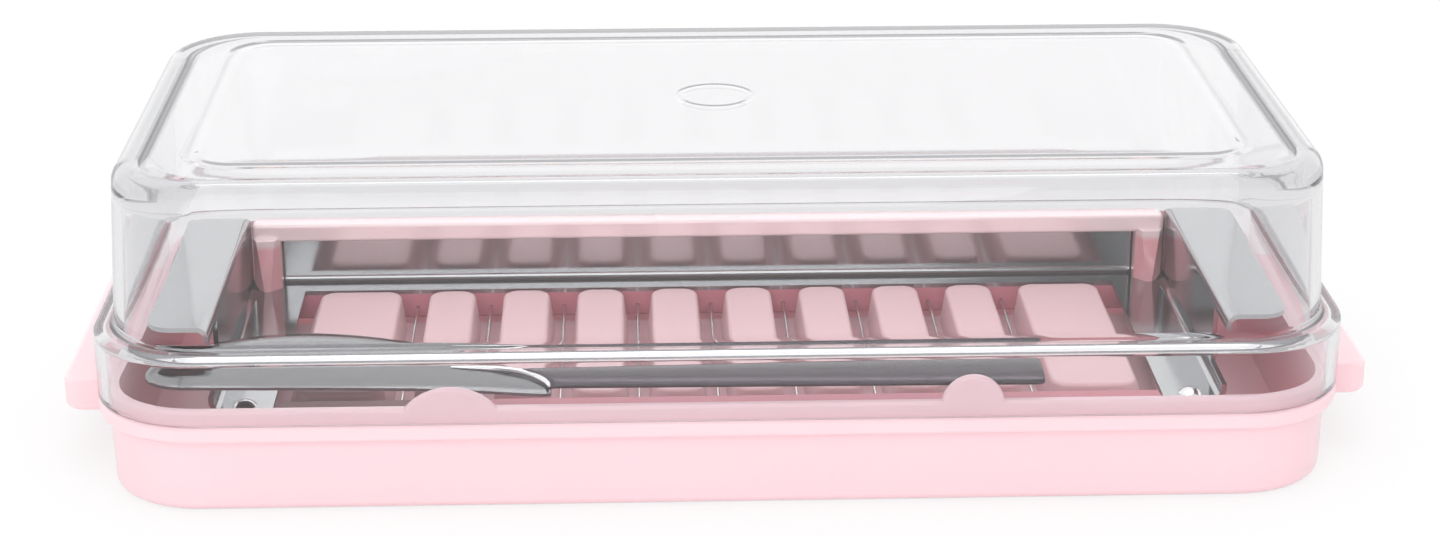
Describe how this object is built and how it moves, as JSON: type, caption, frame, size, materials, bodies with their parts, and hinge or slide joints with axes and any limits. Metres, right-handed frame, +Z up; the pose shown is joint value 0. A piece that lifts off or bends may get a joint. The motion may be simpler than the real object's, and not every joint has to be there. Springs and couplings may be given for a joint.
{
  "type": "butter slicer",
  "caption": "Long covered butter case with a slotted comb that carries the block, a lift-out wire cutter on a steel frame, a clear stepped cover and a butter knife.",
  "frame": {"origin": "centre of the base's underside, on the surface it stands on", "axes": "+X along the case to the right as seen from the knife side, +Y to the back, +Z up"},
  "size_m": [0.2176, 0.096, 0.0548],
  "materials": {
    "tray_plastic": "satin pale pink moulded plastic",
    "comb_plastic": "satin pink moulded plastic",
    "rail_plastic": "glossy deeper pink moulded plastic",
    "frame_steel": "polished stainless sheet",
    "wire_steel": "bright drawn wire",
    "clear_cover": "clear glossy moulded plastic",
    "knife_steel": "polished blade, satin handle"
  },
  "bodies": {
    "base": {"base_tray": "tray_plastic", "slicing_comb": "comb_plastic"},
    "cutter": {"cutter_frame": "frame_steel", "back_rail": "rail_plastic", "front_wire_bar": "rail_plastic", "rear_wire_bar": "rail_plastic", "front_rivets": "wire_steel", "cutting_wire_1": "wire_steel", "cutting_wire_2": "wire_steel", "cutting_wire_3": "wire_steel", "cutting_wire_4": "wire_steel", "cutting_wire_5": "wire_steel", "cutting_wire_6": "wire_steel", "cutting_wire_7": "wire_steel", "cutting_wire_8": "wire_steel", "cutting_wire_9": "wire_steel"},
    "knife": {"butter_knife": "knife_steel"},
    "lid": {"lid": "clear_cover"}
  },
  "joints": [
    {"name": "cutter_lift", "type": "slide", "parent": "base", "child": "cutter", "axis": [0, 0, 1], "range_m": [0, 0.012]},
    {"name": "knife_lift", "type": "hinge", "parent": "cutter", "child": "knife", "pos_m": [-0.0938, -0.0325, 0.018], "axis": [0, -1, 0], "range_deg": [0, 5]},
    {"name": "lid_lift", "type": "slide", "parent": "base", "child": "lid", "axis": [0, 0, 1], "range_m": [0, 0.06]}
  ]
}
